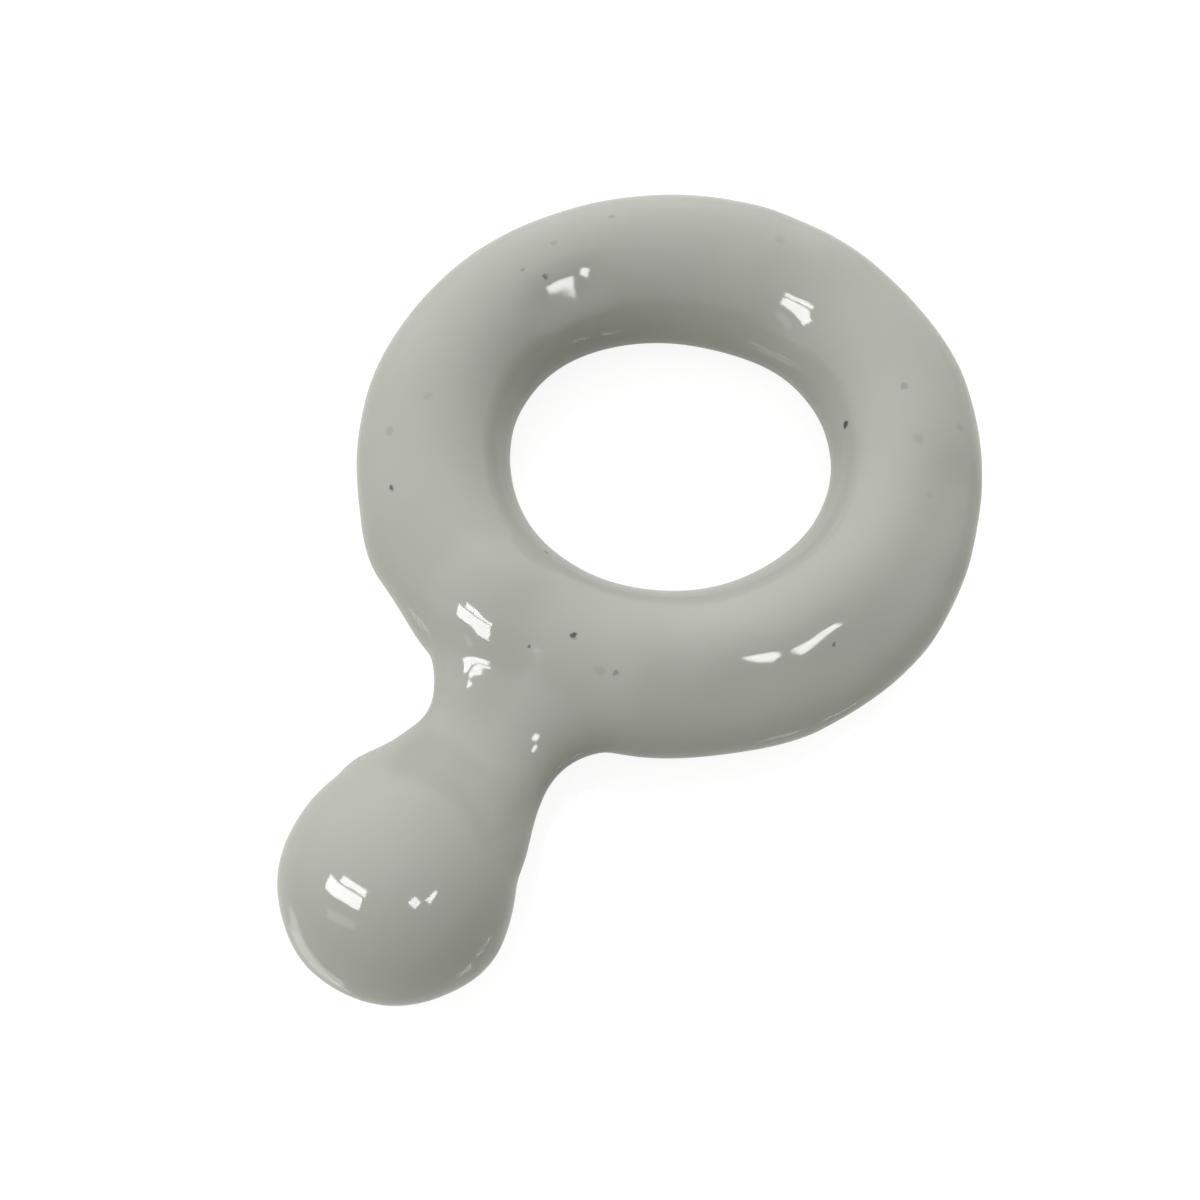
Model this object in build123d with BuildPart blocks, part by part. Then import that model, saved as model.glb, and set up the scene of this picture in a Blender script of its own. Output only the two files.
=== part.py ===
"""Chopstick rest: a ring and a ball of white porcelain, joined by a low waisted stem.

It is hand built. A rope of clay is bent round into a ring, and a ball is stuck to it by a short stem, whose two
ends are hollowed to fit and wetted with slip. The whole is dipped in a clear glaze, which pools in the creases and
is wiped off the feet. Sizes are in millimetres. The table is z = 0, the ball is at the front (-Y), and X runs
across the stem.
"""

import os
from math import sqrt

from build123d import *

# Driving dimensions, over the fired glaze
ring_outer_diameter = 44.0
coil_diameter = 10.7
ball_diameter = 14.1
ring_to_ball_gap = 5.4

# Stem: its waist over a level underside, and how its ends swell towards the ring and the ball
waist_width = 9.3
waist_thickness = 6.6
waist_length = 2.6
stem_clearance = 1.0
flare_swell = 1.65
flare_rise = 0.7
flare_depth = 0.8
shoulder_swell = 1.35
shoulder_drop = 0.9
shoulder_depth = 2.25

# Stem ends: how deep they go into the coil and the ball, and how far they stay under the skin there
root_depth = 2.4
tip_depth = 4.9
buried_margin = 0.4

# Slip, glaze and feet
slip_thickness = 0.4
glaze_thickness = 0.3
glaze_pool_radius = 1.2
wiped_height = 0.45
ring_foot_depth = 0.35
ball_foot_depth = 0.6

# Worked-out places: the ring, then the ball, then the stem from the ring's front to the ball's back
ring_radius = ring_outer_diameter / 2
coil_radius = coil_diameter / 2
coil_centre_radius = ring_radius - coil_radius
coil_centre_z = coil_radius - glaze_thickness - ring_foot_depth

ball_radius = ball_diameter / 2
ball_centre_z = ball_radius - glaze_thickness - ball_foot_depth

total_length = ring_outer_diameter + ring_to_ball_gap + ball_diameter
ring_y = total_length / 2 - ring_radius
ball_y = ball_radius - total_length / 2
ring_front_y = ring_y - ring_radius
ball_back_y = ball_y + ball_radius
waist_y = (ring_front_y + ball_back_y) / 2
waist_top_z = stem_clearance + waist_thickness


def half_chord(radius, depth):
    """Half the width of a circle at a depth below its edge."""
    return sqrt(radius**2 - (radius - depth) ** 2)


def coil_form(depth):
    """The ring's round rope, with its skin at depth below the finished surface."""
    with BuildPart() as form:
        with BuildSketch(Plane.YZ):
            with Locations(Location((ring_y + coil_centre_radius, coil_centre_z, 0), (0, 0, 180))):
                Circle(coil_radius - depth)
        revolve(axis=Axis((0, ring_y, 0), (0, 0, 1)))
    return form.part


def ball_form(depth):
    """The ball, with its skin at depth below the finished surface."""
    with BuildPart() as form:
        with Locations((0, ball_y, ball_centre_z)):
            Sphere(ball_radius - depth)
    return form.part


def stem_form(depth):
    """The waisted stem, with its ends still buried in the coil and the ball."""
    root_y = ring_front_y + root_depth
    root_half_width = sqrt((ring_radius - buried_margin) ** 2 - (ring_y - root_y) ** 2)
    root_top_z = coil_centre_z + half_chord(coil_radius, root_depth) - buried_margin
    shoulder_top_z = ball_centre_z + half_chord(ball_radius, shoulder_depth) - shoulder_drop
    tip_half_width = half_chord(ball_radius, tip_depth) - buried_margin
    sections = (
        (root_y, root_half_width, root_top_z),
        (ring_front_y + flare_depth, waist_width / 2 + flare_swell, waist_top_z + flare_rise),
        (waist_y + waist_length / 2, waist_width / 2, waist_top_z),
        (waist_y - waist_length / 2, waist_width / 2, waist_top_z),
        (ball_back_y - shoulder_depth, waist_width / 2 + shoulder_swell, shoulder_top_z),
        (ball_back_y - tip_depth, tip_half_width, ball_centre_z + tip_half_width),
    )
    with BuildPart() as form:
        for y, half_width, top_z in sections:
            half_height = (top_z - stem_clearance) / 2
            middle = (0, y, stem_clearance + half_height)
            with BuildSketch(Plane(middle, x_dir=(1, 0, 0), z_dir=(0, -1, 0))):
                Ellipse(half_width - depth, half_height - depth)
        loft()
    return form.part


def table_plane(height):
    return Plane.XY.offset(height)


# Ring coil: a rope of clay bent round, with slip where its two ends meet behind the stem
with BuildPart() as coil_seam_slip:
    add(coil_form(glaze_thickness))
    split(bisect_by=table_plane(0), keep=Keep.TOP)
    split(bisect_by=Plane.XZ.offset(-ring_y), keep=Keep.TOP)
    split(bisect_by=Plane.YZ.offset(-slip_thickness / 2), keep=Keep.TOP)
    split(bisect_by=Plane.YZ.offset(slip_thickness / 2), keep=Keep.BOTTOM)

with BuildPart() as ring_coil:
    add(coil_form(glaze_thickness))
    split(bisect_by=table_plane(0), keep=Keep.TOP)
    add(coil_seam_slip.part, mode=Mode.SUBTRACT)

# Ball: a lump of clay with a small flat foot
with BuildPart() as ball_end:
    add(ball_form(glaze_thickness))
    split(bisect_by=table_plane(0), keep=Keep.TOP)

# Stem: hollowed at each end to fit, with a coat of slip in both joints
slip_depth = glaze_thickness - slip_thickness

with BuildPart() as neck_stem:
    add(stem_form(glaze_thickness))
    add(coil_form(slip_depth), mode=Mode.SUBTRACT)
    add(ball_form(slip_depth), mode=Mode.SUBTRACT)

with BuildPart() as ring_joint_slip:
    add(stem_form(glaze_thickness))
    add(coil_form(slip_depth), mode=Mode.INTERSECT)
    add(coil_form(glaze_thickness), mode=Mode.SUBTRACT)

with BuildPart() as ball_joint_slip:
    add(stem_form(glaze_thickness))
    add(ball_form(slip_depth), mode=Mode.INTERSECT)
    add(ball_form(glaze_thickness), mode=Mode.SUBTRACT)

# Glaze: one glass coat over everything but the wiped feet, pooled in the two creases round the stem
with BuildPart() as glaze_coat:
    add(coil_form(0))
    add(stem_form(0))
    fillet(glaze_coat.edges(Select.NEW), glaze_pool_radius)
    add(ball_form(0))
    fillet(glaze_coat.edges(Select.NEW), glaze_pool_radius)
    split(bisect_by=table_plane(wiped_height), keep=Keep.TOP)
    for clay in (coil_form, ball_form, stem_form):
        add(clay(glaze_thickness), mode=Mode.SUBTRACT)

nodes = {
    "ring_coil": ring_coil,
    "coil_seam_slip": coil_seam_slip,
    "ring_joint_slip": ring_joint_slip,
    "neck_stem": neck_stem,
    "ball_joint_slip": ball_joint_slip,
    "ball_end": ball_end,
    "glaze_coat": glaze_coat,
}
os.makedirs("parts", exist_ok=True)
for name, node in nodes.items():
    node.part.label = name
    export_step(node.part, f"parts/{name}.step")
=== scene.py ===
"""A chopstick rest of white glazed porcelain: a fat ring and a small ball, joined by a low waisted stem.

It is made here as a potter makes it: the rope is bent into a ring, the ball and the stem are added with slip,
and the whole is dipped in glaze. Units are metres. The foot is at z = 0, and the ball is at the front (-Y).
"""

from math import cos, pi, radians, sin, tan

import bpy
from mathutils import Matrix, Quaternion, Vector


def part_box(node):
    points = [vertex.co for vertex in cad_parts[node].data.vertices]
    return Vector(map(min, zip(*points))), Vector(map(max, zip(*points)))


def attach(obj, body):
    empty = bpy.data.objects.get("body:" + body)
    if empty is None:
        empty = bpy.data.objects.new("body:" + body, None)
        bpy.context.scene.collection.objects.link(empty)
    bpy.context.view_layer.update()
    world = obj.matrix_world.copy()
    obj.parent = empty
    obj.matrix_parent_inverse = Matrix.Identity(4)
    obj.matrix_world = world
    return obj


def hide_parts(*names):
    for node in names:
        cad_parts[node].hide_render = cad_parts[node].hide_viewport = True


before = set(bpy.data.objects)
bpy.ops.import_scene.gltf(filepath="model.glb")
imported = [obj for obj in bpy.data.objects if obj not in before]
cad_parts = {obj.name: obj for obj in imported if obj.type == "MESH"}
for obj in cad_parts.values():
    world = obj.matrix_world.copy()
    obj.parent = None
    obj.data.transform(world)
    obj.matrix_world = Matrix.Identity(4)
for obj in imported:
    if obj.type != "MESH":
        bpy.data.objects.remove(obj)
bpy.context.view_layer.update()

# The ring: a rope of white porcelain clay, rolled by hand, bent round and closed with slip behind the stem.
# Fingers have left it thicker in some places and thinner in others. Its foot is flat, and wiped bare.
MM = 0.001
glaze_thickness = 0.3 * MM
slip_thickness = 0.4 * MM
skin_low, skin_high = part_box("glaze_coat")
rope_radius = 5.35 * MM
ring_radius = skin_high.x
ring_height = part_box("ring_coil")[1].z + glaze_thickness
ring_middle = Vector((0, skin_high.y - ring_radius, ring_height - rope_radius))
rope_bend_radius = ring_radius - rope_radius

# Finger marks: where on the ring (degrees round from the back, towards +X), how much thicker the rope is
# there, how far it is pushed outwards, and how far along the rope the mark reaches, in millimetres.
finger_marks = (
    (-125, 0.02, -0.10, 7.0),
    (-103, 0.04, 0.06, 4.0),
    (-75, -0.09, 0.14, 9.0),
    (-22, 0.19, -0.07, 9.0),
    (13, 0.05, 0.10, 4.0),
    (33, -0.18, 0.18, 8.5),
    (68, -0.20, -0.05, 8.0),
    (81, -0.04, -0.06, 4.0),
    (102, 0.10, 0.10, 4.5),
    (118, 0.25, 0.08, 8.5),
    (131, 0.08, 0.06, 4.5),
    (157, 0.10, -0.02, 5.0),
)

# Strokes of a fingertip along the rope: the places that it passes, as degrees round from the back and degrees
# up and over from the outer side, how far the clay stands out after it, or is pressed in where that is less
# than 0, and how far to each side the stroke reaches, in millimetres.
finger_strokes = (
    (((77, 68), (92, 66), (105, 58), (118, 52), (150, 52)), -0.36, 4.2),
    (((77, 64), (92, 63), (105, 57), (113, 52), (122, 43)), -0.12, 2.0),
    (((121, 65), (128, 63)), -0.14, 2.4),
    (((136, 68), (141, 68)), -0.08, 2.4),
    (((168, 60), (172, 60)), -0.12, 3.6),
    (((13, 130), (17, 128)), -0.15, 4.0),
    (((-69, 130), (-56, 133)), -0.30, 2.2),
    (((118, -21), (122, -21)), -0.20, 3.0),
    (((58, 0), (62, 0)), 0.10, 3.0),
    (((-6, 32), (3, 32)), 0.12, 3.0),
    (((-140, -7), (-138, -7)), 0.13, 3.0),
    (((-152, -7), (-150, -7)), -0.24, 3.5),
)


def select_only(piece, chosen=None):
    """Picks one piece, and with chosen, opens it in edit mode with the points picked that pass that test."""
    bpy.ops.object.select_all(action="DESELECT")
    bpy.context.view_layer.objects.active = piece
    piece.select_set(True)
    if chosen:
        bpy.ops.object.mode_set(mode="EDIT")
        bpy.ops.mesh.select_mode(type="VERT")
        bpy.ops.mesh.select_all(action="DESELECT")
        bpy.ops.object.mode_set(mode="OBJECT")
        for vertex in piece.data.vertices:
            vertex.select = chosen(vertex.co)
        bpy.ops.object.mode_set(mode="EDIT")


def named_piece(name):
    """Names the primitive that was just added, and moves its place into its mesh."""
    piece = bpy.context.object
    piece.name = piece.data.name = name
    bpy.ops.object.transform_apply(location=True, rotation=True, scale=True)
    return piece


def softly(reach):
    """Settings that let a push fade out smoothly on every side, over this reach."""
    return {
        "use_proportional_edit": True,
        "proportional_edit_falloff": "SMOOTH",
        "proportional_size": reach,
    }


def rope_direction(azimuth):
    """The way outwards from the ring's middle, by degrees round from the back."""
    return Vector((sin(radians(azimuth)), cos(radians(azimuth)), 0))


def on_rope(azimuth, over):
    """A place on the rope's skin, by degrees round from the back and degrees over from its outer side."""
    outwards = rope_bend_radius + rope_radius * cos(radians(over))
    upwards = rope_radius * sin(radians(over))
    return ring_middle + rope_direction(azimuth) * outwards + Vector((0, 0, upwards))


def stroke(piece, places, proud, reach):
    """Draws a fingertip over a piece, from place to place on the rope."""
    steps = 12
    touched = 0.55 * MM
    path = []
    for start, end in zip(places, places[1:]):
        for step in range(steps + 1):
            azimuth, over = (a + (b - a) * step / steps for a, b in zip(start, end))
            path.append(piece.closest_point_on_mesh(on_rope(azimuth, over))[1])
    select_only(piece, lambda co: any((co - spot).length < touched for spot in path))
    bpy.ops.transform.shrink_fatten(value=proud * MM, **softly(reach * MM))
    bpy.ops.object.mode_set(mode="OBJECT")


def finger_mark(rope, half_slice, azimuth, thicker, outwards, reach):
    """Squeezes or swells the rope at one slice of it, and pushes it outwards or inwards there."""
    way = rope_direction(azimuth)
    across = way.cross(Vector((0, 0, 1)))

    def in_slice(co):
        along = (co - ring_middle).dot(way)
        aside = abs((co - ring_middle).dot(across))
        return along > 0 and aside < half_slice * along / rope_bend_radius

    select_only(rope, in_slice)
    bpy.ops.transform.shrink_fatten(value=thicker * MM, **softly(reach * MM))
    bpy.ops.transform.translate(value=way * outwards * MM, **softly(reach * MM))
    bpy.ops.object.mode_set(mode="OBJECT")


def rope_form(name, depth):
    """The ring's uneven rope, with its skin at depth below the finished surface."""
    slices = 180
    slice_points = 72
    # Half the way to the next slice of points and a little more, so that every mark finds a slice
    half_slice = 0.51 * rope_bend_radius * radians(360 / slices)
    bpy.ops.object.select_all(action="DESELECT")
    bpy.ops.mesh.primitive_torus_add(
        major_radius=rope_bend_radius, minor_radius=rope_radius - depth,
        major_segments=slices, minor_segments=slice_points, location=ring_middle)
    rope = named_piece(name)
    for mark in finger_marks:
        finger_mark(rope, half_slice, *mark)
    for mark in finger_strokes:
        stroke(rope, *mark)
    return rope


def finish_with(piece, kind, **settings):
    """Adds one modifier to a piece and applies it."""
    select_only(piece)
    modifier = piece.modifiers.new(kind.title(), kind)
    for setting, value in settings.items():
        setattr(modifier, setting, value)
    bpy.ops.object.modifier_apply(modifier=modifier.name)


def carve(piece, tool, operation):
    """Cuts a piece with another one, or keeps only what they share, and throws the tool away."""
    finish_with(piece, "BOOLEAN", object=tool, operation=operation, solver="EXACT")
    bpy.data.objects.remove(tool)


def add_node(owner, kind, inputs=None, **settings):
    """One node of a material, the room or a shared effect, with its values set and its inputs linked."""
    tree = owner.node_tree if hasattr(owner, "node_tree") else owner
    node = tree.nodes.new(kind)
    for setting, value in settings.items():
        setattr(node, setting, value)
    for socket, value in (inputs or {}).items():
        if isinstance(value, bpy.types.NodeSocket):
            tree.links.new(value, node.inputs[socket])
        else:
            node.inputs[socket].default_value = value
    return node


def new_material(name):
    """A material with no nodes yet."""
    material = bpy.data.materials.new(name)
    material.use_nodes = True
    material.node_tree.nodes.clear()
    return material


def colour_between(owner, factor, colour_a, colour_b):
    """A colour that goes from the first one to the second as factor goes from 0 to 1."""
    mix = add_node(owner, "ShaderNodeMix", {0: factor, 6: colour_a, 7: colour_b}, data_type="RGBA")
    return mix.outputs[2]


def fired_grain_effect():
    """Shared by clay and slip: the fine tooth and faint cloudiness of porcelain fired without glaze."""
    effect = bpy.data.node_groups.new("fired grain", "ShaderNodeTree")
    for direction, socket, kind in (
        ("INPUT", "Place", "NodeSocketVector"),
        ("INPUT", "Pale", "NodeSocketColor"),
        ("INPUT", "Dark", "NodeSocketColor"),
        ("OUTPUT", "Colour", "NodeSocketColor"),
        ("OUTPUT", "Roughness", "NodeSocketFloat"),
        ("OUTPUT", "Height", "NodeSocketFloat"),
    ):
        effect.interface.new_socket(socket, in_out=direction, socket_type=kind)
    given = add_node(effect, "NodeGroupInput").outputs
    cloud = add_node(effect, "ShaderNodeTexNoise", {"Vector": given["Place"], "Scale": 260.0, "Detail": 4.0})
    tooth = add_node(effect, "ShaderNodeTexNoise", {"Vector": given["Place"], "Scale": 5200.0, "Detail": 3.0})
    colour = colour_between(effect, cloud.outputs["Fac"], given["Dark"], given["Pale"])
    rough = add_node(effect, "ShaderNodeMapRange", {
        "Value": tooth.outputs["Fac"], "To Min": 0.72, "To Max": 0.92})
    add_node(effect, "NodeGroupOutput", {
        "Colour": colour, "Roughness": rough.outputs[0], "Height": tooth.outputs["Fac"]})
    return effect


fired_grain = fired_grain_effect()


def bare_material(name, pale, dark):
    """Fired clay with no glaze: matt, off-white and a little toothy."""
    material = new_material(name)
    place = add_node(material, "ShaderNodeTexCoord").outputs["Object"]
    grain = add_node(material, "ShaderNodeGroup", {"Place": place, "Pale": pale, "Dark": dark},
                     node_tree=fired_grain)
    bump = add_node(material, "ShaderNodeBump", {
        "Strength": 0.35, "Distance": 0.04 * MM, "Height": grain.outputs["Height"]})
    surface = add_node(material, "ShaderNodeBsdfPrincipled", {
        "Base Color": grain.outputs["Colour"], "Roughness": grain.outputs["Roughness"],
        "Normal": bump.outputs["Normal"], "Specular IOR Level": 0.3})
    add_node(material, "ShaderNodeOutputMaterial", {"Surface": surface.outputs["BSDF"]})
    return material


porcelain = bare_material("bare porcelain", pale=(0.52, 0.50, 0.45, 1), dark=(0.43, 0.41, 0.36, 1))


def seam_blade():
    """A thin wall across the rope behind the stem, where its two ends meet, larger than the rope."""
    bpy.ops.object.select_all(action="DESELECT")
    bpy.ops.mesh.primitive_cube_add(size=1, location=ring_middle - Vector((0, rope_bend_radius, 0)),
                                    scale=(slip_thickness, 3 * rope_radius, 4 * rope_radius))
    return named_piece("blade")


def table_block():
    """A block that fills the space under the table, to cut a flat foot with."""
    size = 4 * ring_radius
    bpy.ops.object.select_all(action="DESELECT")
    bpy.ops.mesh.primitive_cube_add(size=size, location=(0, 0, -size / 2))
    return named_piece("block")


def dress(piece, material, slot, *nodes):
    """Gives a piece its finish, hangs it from the root body and hides the solids that it stands for."""
    sharp_edge = radians(40)
    piece.data.materials.clear()
    piece.data.materials.append(material)
    select_only(piece)
    bpy.ops.object.shade_smooth_by_angle(angle=sharp_edge)
    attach(piece, "root")
    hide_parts(*nodes)


ring_clay = rope_form("ring_clay", glaze_thickness)
carve(ring_clay, table_block(), "DIFFERENCE")
carve(ring_clay, seam_blade(), "DIFFERENCE")
dress(ring_clay, porcelain, "porcelain", "ring_coil")

# The rope's seam: a film of slip, which is clay thinned with water, brushed on the two ends before they are
# pressed together. It fires to a hair line that shows only across the bare foot.
fired_slip = bare_material("fired slip", pale=(0.55, 0.53, 0.49, 1), dark=(0.47, 0.45, 0.41, 1))
ring_seam = rope_form("ring_seam", glaze_thickness)
carve(ring_seam, table_block(), "DIFFERENCE")
carve(ring_seam, seam_blade(), "INTERSECT")
dress(ring_seam, fired_slip, "slip", "coil_seam_slip")

# The ball: a lump of the same clay rolled between the palms and patted flat underneath. It is a little square
# at the front, and its back is pushed to one side, where the stem was worked on to it.
ball_radius = 7.05 * MM
ball_middle = Vector((0, skin_low.y + ball_radius, skin_high.z - ball_radius))
ball_back = ball_middle.y + 0.6 * ball_radius
ball_push = Vector((-0.25, 0, 0)) * MM
ball_push_reach = 7.0 * MM
# Where the palms left it a little square: which way from its middle, and how far it stands out there, or is
# pressed in where that is less than 0, in millimetres
ball_corners = (
    ((-0.91, -0.41, 0.04), 0.12),
    ((-0.43, -0.85, -0.30), 0.24),
    ((0.93, -0.22, -0.30), 0.17),
    ((0.96, 0.26, -0.11), -0.12),
)
ball_corner_touched = 0.1 * ball_radius
ball_corner_reach = 3.2 * MM


def ball_form(name, depth):
    """The ball, with its skin at depth below the finished surface."""
    radius = ball_radius - depth
    bpy.ops.object.select_all(action="DESELECT")
    bpy.ops.mesh.primitive_uv_sphere_add(radius=radius, segments=96, ring_count=48, location=ball_middle)
    ball = named_piece(name)
    select_only(ball, lambda co: co.y > ball_back)
    bpy.ops.transform.translate(value=ball_push, **softly(ball_push_reach))
    bpy.ops.object.mode_set(mode="OBJECT")
    for way, proud in ball_corners:
        corner = ball_middle + radius * Vector(way).normalized()
        select_only(ball, lambda co: (co - corner).length < ball_corner_touched)
        bpy.ops.transform.shrink_fatten(value=proud * MM, **softly(ball_corner_reach))
        bpy.ops.object.mode_set(mode="OBJECT")
    return ball


ball_clay = ball_form("ball_clay", glaze_thickness)
carve(ball_clay, table_block(), "DIFFERENCE")
dress(ball_clay, porcelain, "porcelain", "ball_end")

# The stem: a short waisted lump of clay, low enough to cradle what is laid across it. It is hollowed at both
# ends to sit on the rope and on the ball, swells towards each, and leans a little to one side near the ball.
stem_clearance = 1.0 * MM
# From the rope to the ball, in millimetres: distance from the ring's middle, half width, height of the top,
# sideways lean
stem_stations = (
    (18.6, 10.6, 8.9, 0.00),
    (19.6, 9.1, 8.76, 0.00),
    (20.7, 7.1, 8.45, 0.00),
    (21.8, 5.75, 8.0, 0.00),
    (23.2, 4.75, 7.55, -0.02),
    (24.7, 4.5, 7.35, -0.08),
    (26.2, 4.95, 7.9, -0.30),
    (27.6, 5.25, 9.1, -0.20),
    (29.0, 5.85, 10.5, -0.28),
    (30.4, 6.3, 11.7, -0.30),
    (32.3, 6.4, 12.5, -0.30),
)


def stem_form(name, depth):
    """The stem, its skin at depth below the finished surface, its ends still buried in rope and ball."""
    bpy.ops.object.select_all(action="DESELECT")
    bpy.ops.mesh.primitive_circle_add(vertices=40, radius=1, fill_type="NGON", rotation=(radians(90), 0, 0))
    stem = named_piece(name)
    select_only(stem, lambda co: True)
    before, wide_before, tall_before = Vector(), 1, 1
    for station, (distance, half_width, top, lean) in enumerate(stem_stations):
        half_height = (top * MM - stem_clearance) / 2
        middle = Vector((lean * MM, ring_middle.y - distance * MM, stem_clearance + half_height))
        wide = half_width * MM - depth
        tall = half_height - depth
        if station:
            bpy.ops.mesh.extrude_region_move(TRANSFORM_OT_translate={"value": middle - before})
        else:
            bpy.ops.transform.translate(value=middle)
        bpy.ops.transform.resize(value=(wide / wide_before, 1, tall / tall_before), center_override=middle)
        before, wide_before, tall_before = middle, wide, tall
    bpy.ops.mesh.select_all(action="SELECT")
    bpy.ops.mesh.normals_make_consistent(inside=False)
    bpy.ops.object.mode_set(mode="OBJECT")
    finish_with(stem, "SUBSURF", levels=2, render_levels=2)
    return stem


slip_depth = glaze_thickness - slip_thickness
stem_clay = stem_form("stem_clay", glaze_thickness)
carve(stem_clay, rope_form("tool", slip_depth), "DIFFERENCE")
carve(stem_clay, ball_form("tool", slip_depth), "DIFFERENCE")
dress(stem_clay, porcelain, "porcelain", "neck_stem")

# The stem's two joints: slip brushed on before the stem is pressed home, one film shaped like the rope's side
# and one dished like the ball.
for name, form, node in (
    ("ring_joint", rope_form, "ring_joint_slip"),
    ("ball_joint", ball_form, "ball_joint_slip"),
):
    joint = stem_form(name, glaze_thickness)
    carve(joint, form("tool", slip_depth), "INTERSECT")
    carve(joint, form("tool", glaze_thickness), "DIFFERENCE")
    dress(joint, fired_slip, "slip", node)

# The glaze: one coat of clear glass over the white clay, from dipping. It evens out the joints, pools in the
# creases on both sides of the stem, ends in a thin rim above the wiped feet, and carries a few specks of iron
# from the clay.
wiped_height = skin_low.z
skin_grain = 0.35 * MM
# What the smoothing below draws in, given back before it
smoothing_loss = 0.02 * MM

glaze_skin = rope_form("glaze_skin", -smoothing_loss)
dipped = [stem_form("dipped stem", 0), ball_form("dipped ball", -smoothing_loss)]
select_only(glaze_skin)
for form in dipped:
    form.select_set(True)
bpy.ops.object.join()
finish_with(glaze_skin, "REMESH", mode="VOXEL", voxel_size=skin_grain, use_smooth_shade=True)
finish_with(glaze_skin, "SMOOTH", factor=0.5, iterations=18)

# The soft unevenness that rolling between the hands leaves all over
hand_rolling = bpy.data.textures.new("hand rolling", "CLOUDS")
hand_rolling.noise_scale = 5.0 * MM
hand_rolling.noise_depth = 0
finish_with(glaze_skin, "DISPLACE", texture=hand_rolling, texture_coords="LOCAL", strength=0.1 * MM,
            mid_level=0.5)

# The lip of the stem's clay, drawn up over the rope on one side where the two were luted together, and
# touches that were left in the wet glaze, all given as the strokes of the rope are
stem_lip = (((-166, 86), (-172, 14)), 0.50, 3.8)
glaze_touches = (
    (((6, 115), (14, 140)), -0.20, 2.7),
    (((112, 110), (135, 87)), 0.10, 3.5),
    (((144, 92), (144, 80)), 0.15, 3.0),
)
for mark in (stem_lip, *glaze_touches):
    stroke(glaze_skin, *mark)

select_only(glaze_skin, lambda co: True)
bpy.ops.mesh.bisect(plane_co=(0, 0, wiped_height), plane_no=(0, 0, 1), clear_inner=True)
bpy.ops.object.mode_set(mode="OBJECT")
finish_with(glaze_skin, "SOLIDIFY", thickness=glaze_thickness, offset=-1, use_rim=True, use_even_offset=True)

# Specks on the ring: degrees round from the back, degrees up and over the rope from its outer side, width in
# millimetres, darkness
specks = (
    (173, 82, 0.42, 0.95),
    (180, 64, 0.26, 0.80),
    (166, 65, 0.80, 0.15),
    (163, 66, 0.36, 0.45),
    (143, 103, 0.34, 0.30),
    (121, 62, 0.38, 0.75),
    (100, -8, 0.36, 0.70),
    (81, 77, 0.55, 0.12),
    (68, 93, 0.80, 0.15),
    (63, 58, 0.80, 0.20),
    (57, 151, 0.55, 1.00),
    (53, 98, 0.62, 0.30),
    (20, 22, 0.40, 0.60),
    (0, 88, 0.90, 0.14),
    (-7, 151, 0.50, 0.70),
    (-30, 141, 0.55, 0.25),
    (-42, 82, 0.50, 0.28),
    (-58, 90, 0.50, 0.20),
    (-62, 8, 0.40, 0.55),
    (-65, 112, 0.52, 0.65),
    (-69, 97, 0.36, 0.40),
    (-112, 4, 0.50, 0.35),
    (-114, 92, 0.70, 0.14),
    (-122, 64, 0.70, 0.20),
    (-135, 61, 0.52, 0.90),
    (-168, 138, 0.40, 0.60),
)
# A speck is darkest within the first share of its width from its middle, and has faded away at the second
speck_core, speck_end = 0.2, 0.6
speck_raggedness = 0.5 * MM
iron_grey = (0.09, 0.088, 0.085, 1)
glaze_dark = (0.418, 0.428, 0.384, 1)
glaze_pale = (0.475, 0.482, 0.448, 1)


def glaze_material():
    """Pale, faintly green glass with a high gloss, a little clouded and rippled, and flecked with iron."""
    material = new_material("clear glaze")
    place = add_node(material, "ShaderNodeTexCoord").outputs["Object"]
    cloud = add_node(material, "ShaderNodeTexNoise", {"Vector": place, "Scale": 95.0, "Detail": 3.0})
    cloud = cloud.outputs["Fac"]
    colour = colour_between(material, cloud, glaze_dark, glaze_pale)
    wander = add_node(material, "ShaderNodeTexNoise", {"Vector": place, "Scale": 2600.0, "Detail": 2.0})
    shift = add_node(material, "ShaderNodeVectorMath", {0: wander.outputs["Color"], 1: (0.5, 0.5, 0.5)},
                     operation="SUBTRACT")
    ragged = add_node(material, "ShaderNodeVectorMath", {
        0: shift.outputs[0], 1: (speck_raggedness,) * 3, 2: place}, operation="MULTIPLY_ADD")
    iron = None
    for azimuth, over, width, dark in specks:
        spot = glaze_skin.closest_point_on_mesh(on_rope(azimuth, over))[1]
        away = add_node(material, "ShaderNodeVectorMath", {0: ragged.outputs[0], 1: spot},
                        operation="DISTANCE")
        mark = add_node(material, "ShaderNodeMapRange", {
            "Value": away.outputs["Value"], "From Min": speck_core * width * MM,
            "From Max": speck_end * width * MM, "To Min": dark, "To Max": 0.0},
            interpolation_type="SMOOTHSTEP")
        if iron:
            mark = add_node(material, "ShaderNodeMath", {0: iron, 1: mark.outputs[0]}, operation="MAXIMUM")
        iron = mark.outputs[0]
    colour = colour_between(material, iron, colour, iron_grey)
    ripple = add_node(material, "ShaderNodeTexNoise", {"Vector": place, "Scale": 420.0, "Detail": 2.0})
    bump = add_node(material, "ShaderNodeBump", {
        "Strength": 0.2, "Distance": 0.06 * MM, "Height": ripple.outputs["Fac"]})
    gloss = add_node(material, "ShaderNodeMapRange", {"Value": cloud, "To Min": 0.05, "To Max": 0.09})
    surface = add_node(material, "ShaderNodeBsdfPrincipled", {
        "Base Color": colour, "Roughness": gloss.outputs[0], "Normal": bump.outputs["Normal"],
        "IOR": 1.5, "Specular IOR Level": 0.3})
    add_node(material, "ShaderNodeOutputMaterial", {"Surface": surface.outputs["BSDF"]})
    return material


dress(glaze_skin, glaze_material(), "glaze", "glaze_coat")

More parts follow.
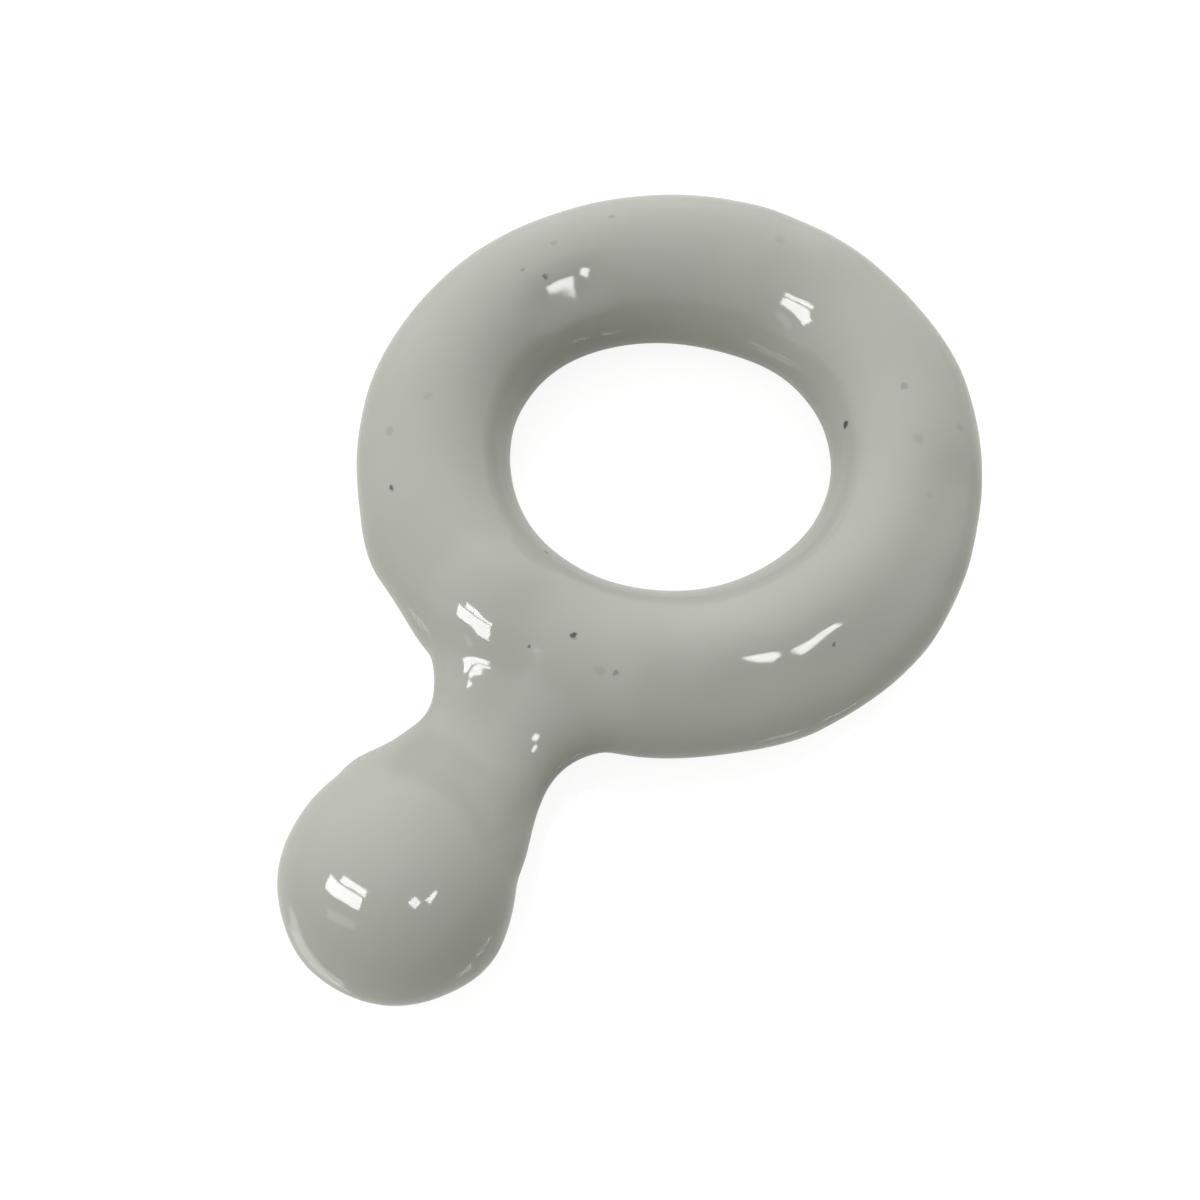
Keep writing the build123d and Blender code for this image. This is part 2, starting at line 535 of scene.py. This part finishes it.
# The stage: a plain white table top that runs on to a white room, and soft window light. To the camera the
# table glows a little under white, and the light that falls on it adds the rest, so it keeps the shadow.
table_size = 6
table_gap = 0.02 * MM
table_glow = 0.9
table_share_in_mirrors = 0.4
# The table's colour in the light that it throws on the object, under its glow, and in its faint polish
table_thrown = (0.54, 0.54, 0.46, 1)
table_under_glow = (0.16, 0.16, 0.16, 1)
table_polish = (0.05, 0.05, 0.05, 1)

bpy.ops.object.select_all(action="DESELECT")
bpy.ops.mesh.primitive_plane_add(size=table_size, location=(0, 0, -table_gap))
table = named_piece("table")
table_white = new_material("white table")
seen = add_node(table_white, "ShaderNodeLightPath").outputs
mirrored = add_node(table_white, "ShaderNodeMath", {
    0: seen["Is Glossy Ray"], 1: seen["Is Transmission Ray"]}, operation="MAXIMUM")
mirrored = add_node(table_white, "ShaderNodeMath", {
    0: mirrored.outputs[0], 1: table_share_in_mirrors}, operation="MULTIPLY")
shown = add_node(table_white, "ShaderNodeMath", {
    0: seen["Is Camera Ray"], 1: mirrored.outputs[0]}, operation="MAXIMUM").outputs[0]
shade = colour_between(table_white, shown, table_thrown, table_under_glow)
lit = add_node(table_white, "ShaderNodeBsdfDiffuse", {"Color": shade})
glow = add_node(table_white, "ShaderNodeMath", {0: shown, 1: table_glow}, operation="MULTIPLY")
white = add_node(table_white, "ShaderNodeEmission", {"Color": (1, 1, 1, 1), "Strength": glow.outputs[0]})
both = add_node(table_white, "ShaderNodeAddShader", {0: lit.outputs[0], 1: white.outputs[0]})
polish = add_node(table_white, "ShaderNodeBsdfGlossy", {"Color": table_polish, "Roughness": 0.06})
both = add_node(table_white, "ShaderNodeAddShader", {0: both.outputs[0], 1: polish.outputs[0]})
add_node(table_white, "ShaderNodeOutputMaterial", {"Surface": both.outputs[0]})
table.data.materials.append(table_white)

# The room is white where it is seen, itself or in the glaze, and lights the object only a little
room = bpy.data.worlds.new("white room")
bpy.context.scene.world = room
room.use_nodes = True
room.node_tree.nodes.clear()
seen = add_node(room, "ShaderNodeLightPath").outputs
shown = add_node(room, "ShaderNodeMath", {
    0: seen["Is Camera Ray"], 1: seen["Is Glossy Ray"]}, operation="MAXIMUM")
shown = add_node(room, "ShaderNodeMath", {
    0: shown.outputs[0], 1: seen["Is Transmission Ray"]}, operation="MAXIMUM")
soft = add_node(room, "ShaderNodeBackground", {"Color": (1.0, 1.0, 0.78, 1), "Strength": 0.08})
white = add_node(room, "ShaderNodeBackground", {"Color": (1, 1, 1, 1), "Strength": 1.0})
both = add_node(room, "ShaderNodeMixShader", {0: shown.outputs[0], 1: soft.outputs[0], 2: white.outputs[0]})
add_node(room, "ShaderNodeOutputWorld", {"Surface": both.outputs[0]})

lamp_distance = 0.6


def pane_of_light(name, towards, along, wide, tall, brightness):
    """A lit pane: which way it lies from the object, the way its long side runs, and its size in degrees."""
    lamp = bpy.data.lights.new(name, "AREA")
    lamp.shape = "RECTANGLE"
    lamp.size = 2 * lamp_distance * tan(radians(wide) / 2)
    lamp.size_y = 2 * lamp_distance * tan(radians(tall) / 2)
    lamp.energy = brightness * pi * lamp.size * lamp.size_y
    pane = bpy.data.objects.new(name, lamp)
    bpy.context.scene.collection.objects.link(pane)
    facing = Vector(towards).normalized()
    side = (Vector(along) - facing * facing.dot(along)).normalized()
    pane.matrix_world = Matrix((side, facing.cross(side), facing)).transposed().to_4x4()
    pane.location = facing * lamp_distance
    return pane


# Soft boxes overhead, at the back and along the left, which light the object and don't show in the glaze
soft_box_wide, soft_box_tall = 70, 55
for name, towards, along, brightness in (
    ("soft box above", (0, 0, 1), (0, 1, 0), 1.4),
    ("soft box left", (-0.9, -0.1, 0.42), (0, 1, 0), 0.3),
    ("soft box front left", (-0.5, -0.7, 0.5), (0.8, -0.6, 0), 0.95),
    ("soft box back left", (-0.5, 0.75, 0.43), (0.83, 0.55, 0), 1.35),
    ("soft box back", (0.15, 0.9, 0.4), (1, 0, 0), 0.6),
):
    soft_box = pane_of_light(name, towards, along, soft_box_wide, soft_box_tall, brightness)
    soft_box.visible_glossy = False

# Window panes, small and bright, which show only as sparkles in the glaze
for name, towards, along, wide, tall, brightness in (
    ("window", (-0.45, -0.63, 0.63), (0.888, -0.215, 0.405), 36, 12, 22),
    ("window top light", (-0.365, -0.513, 0.779), (0.888, -0.215, 0.405), 26, 5, 22),
    ("window sill", (-0.31, -0.87, 0.39), (0.94, 0.1, 0.31), 26, 9, 2),
    ("far window", (0.57, -0.29, 0.77), (0.3, 0.9, 0.1), 8, 8, 22),
    ("far window second pane", (0.73, -0.08, 0.68), (0.3, 0.9, 0.1), 12, 6, 22),
):
    window_pane = pane_of_light(name, towards, along, wide, tall, brightness)
    window_pane.visible_diffuse = False

# The camera: looking down on the rest from in front and from the ball's right, turned a little about its axis
eye = Vector((17.66, -32.18, 77.57)) * MM
aim = Vector((1.25, -2.61, 5.0)) * MM
camera_roll = radians(0.33)
camera_data = bpy.data.cameras.new("camera")
camera_data.lens = 36.12
camera_data.sensor_width = 36
camera_data.clip_start = 5 * MM
camera = bpy.data.objects.new("camera", camera_data)
bpy.context.scene.collection.objects.link(camera)
camera.rotation_mode = "QUATERNION"
camera.rotation_quaternion = Quaternion(aim - eye, camera_roll) @ (aim - eye).to_track_quat("-Z", "Y")
camera.location = eye
bpy.context.scene.camera = camera

bpy.context.scene.view_settings.view_transform = "Standard"
